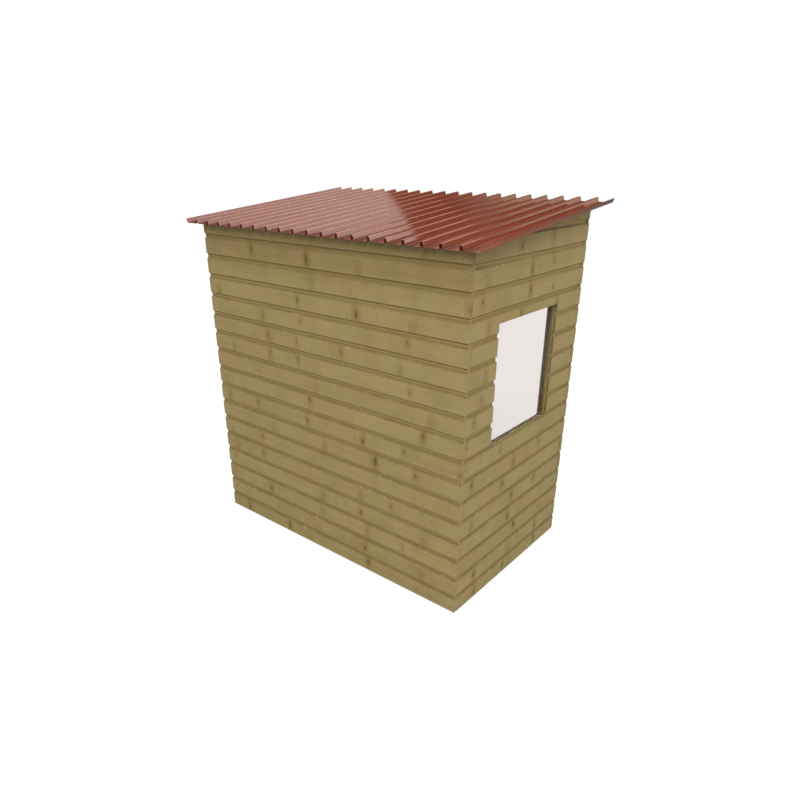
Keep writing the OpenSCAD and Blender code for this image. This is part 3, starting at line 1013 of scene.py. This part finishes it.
def card_material(card):
    """Even light or dark, which may fade in between two headings."""
    t = new_tree(card.name)
    glow = t.add("Emission", {"Color": card.colour, "Strength": card.strength}).outputs[0]
    clear = t.add("BsdfTransparent").outputs[0]
    cover = 1.0
    if card.fade:
        east, north, _ = t.split(t.point())
        heading = t.math("ARCTAN2", east, north)
        cover = t.step(heading, *[math.radians(angle) for angle in card.fade])
    return t.finish(t.add("MixShader", {0: cover, 1: clear, 2: glow}).outputs[0])


def build_card(card):
    """A curved, upright card far behind the shed that only glossy surfaces see."""
    away = CARD_DISTANCE - card.layer
    bm = bmesh.new()
    made = []
    for heading, *rises in arc_columns(card.columns):
        turn = math.radians(heading)
        made.append([bm.verts.new((away * math.sin(turn), away * math.cos(turn),
                                   away * math.tan(math.radians(rise)))) for rise in rises])
    for near, far in zip(made, made[1:]):
        bm.faces.new((near[0], far[0], far[1], near[1]))
    piece = object_from(bm, card.name, [card_material(card)])
    piece.visible_camera = False
    piece.visible_diffuse = False
    piece.visible_transmission = False


def build_camera():
    """Looks at the shed from the near right corner, as the photograph does."""
    turn = math.radians(CAMERA_TURN)
    rise = math.radians(CAMERA_RISE)
    ahead = Vector((-math.sin(turn) * math.cos(rise), math.cos(turn) * math.cos(rise),
                    -math.sin(rise)))
    lens = bpy.data.cameras.new("camera")
    lens.lens = CAMERA_LENS
    lens.sensor_width = SENSOR_WIDTH
    lens.shift_x, lens.shift_y = CAMERA_SHIFT
    camera = bpy.data.objects.new("camera", lens)
    bpy.context.scene.collection.objects.link(camera)
    camera.location = CAMERA_PLACE
    camera.rotation_mode = "QUATERNION"
    roll = Quaternion(Z_AXIS, math.radians(CAMERA_ROLL))
    camera.rotation_quaternion = ahead.to_track_quat("-Z", "Y") @ roll
    bpy.context.scene.camera = camera


# ---- the shed ----

# The studs at both ends of each wall, which its boards are nailed to
NAILED_STUDS = {
    "back": ("back_post_left", "back_post_right"),
    "right": ("right_stud_rear", "right_stud_front"),
    "front": ("front_post_left", "front_post_right"),
    "left": ("left_stud_rear", "left_stud_front"),
}


def stud_middle(node, wall):
    """How far along a wall the middle of a stud is."""
    low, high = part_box(node)
    return ((low + high) / 2 - wall.origin).dot(wall.along)


def build_walls():
    """The boards and nails of the four walls."""
    wood = wood_material(TREATED_BOARDS)
    # Pale heads: the steel's own colour, lightened as painted glints
    steel = mottled_material("nail_steel", (220.0, 2.0, 0.5), (0.40, 0.65),
                             srgb(170, 158, 128), srgb(142, 126, 92), (0.38, 0.68), Metallic=0.15)
    for number, wall in enumerate(find_walls()):
        build_boards(wall, number, wood)
        build_nails(wall, [stud_middle(node, wall) for node in NAILED_STUDS[wall.name]], steel)


def build_roof():
    """The two roof sheets. The right one laps over the left one's last rib."""
    cut_edge = mottled_material("sheet_cut_edge", (160.0, 3.0, 0.5), (0.40, 0.62),
                                srgb(104, 38, 24), srgb(114, 62, 48), (0.35, 0.55))
    underside = underside_material("sheet_underside", srgb(112, 44, 30), srgb(124, 56, 40),
                                   srgb(112, 48, 36))
    # The verge: a faded backing coat, with painted shade towards its high end
    verge = underside_material("faded_verge_painted_shade", srgb(140, 84, 64), srgb(150, 92, 70),
                               srgb(108, 84, 74))
    materials = [paint_material(), cut_edge, underside, verge]
    build_sheet("roof_sheet_left", EDGE_CREST, LAPPED_CREST, 0, materials)
    build_sheet("roof_sheet_right", RIB_CREST, EDGE_CREST, SHEET_THICK, materials)


def build_window():
    """The pane, in the frame's own shape, and the sealant round it."""
    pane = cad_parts["window_pane"]
    pane.data.materials.clear()
    pane.data.materials.append(glass_material())
    sealant = mottled_material("glazing_sealant", (40.0, 3.0, 0.6), (0.35, 0.65),
                               srgb(134, 122, 86), srgb(122, 108, 72), (0.45, 0.65),
                               **{"Specular IOR Level": 0.2})
    build_seal(sealant)


def build_timbers():
    """Every framing timber and glazing bead, numbered in the order of the nodes' names."""
    beads = wood_material(GLAZING_BEADS)
    framing = wood_material(PLANED_TIMBER)
    done = {"window_pane", "roof_sheet_left", "roof_sheet_right"}
    timbers = [node for node in sorted(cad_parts)
               if node not in done and "cladding" not in node]
    for number, node in enumerate(timbers):
        if "bead" in node:
            build_timber(node, number, BEAD_ARRIS, beads)
        else:
            build_timber(node, number, TIMBER_ARRIS, framing)


def main():
    """Builds the pieces and the stage, each from the frame's nodes."""
    bpy.context.scene.view_settings.view_transform = "Standard"
    build_walls()
    build_roof()
    build_window()
    build_timbers()
    build_floor()
    build_world()
    build_key_light()
    for card in CARDS:
        build_card(card)
    build_camera()


main()
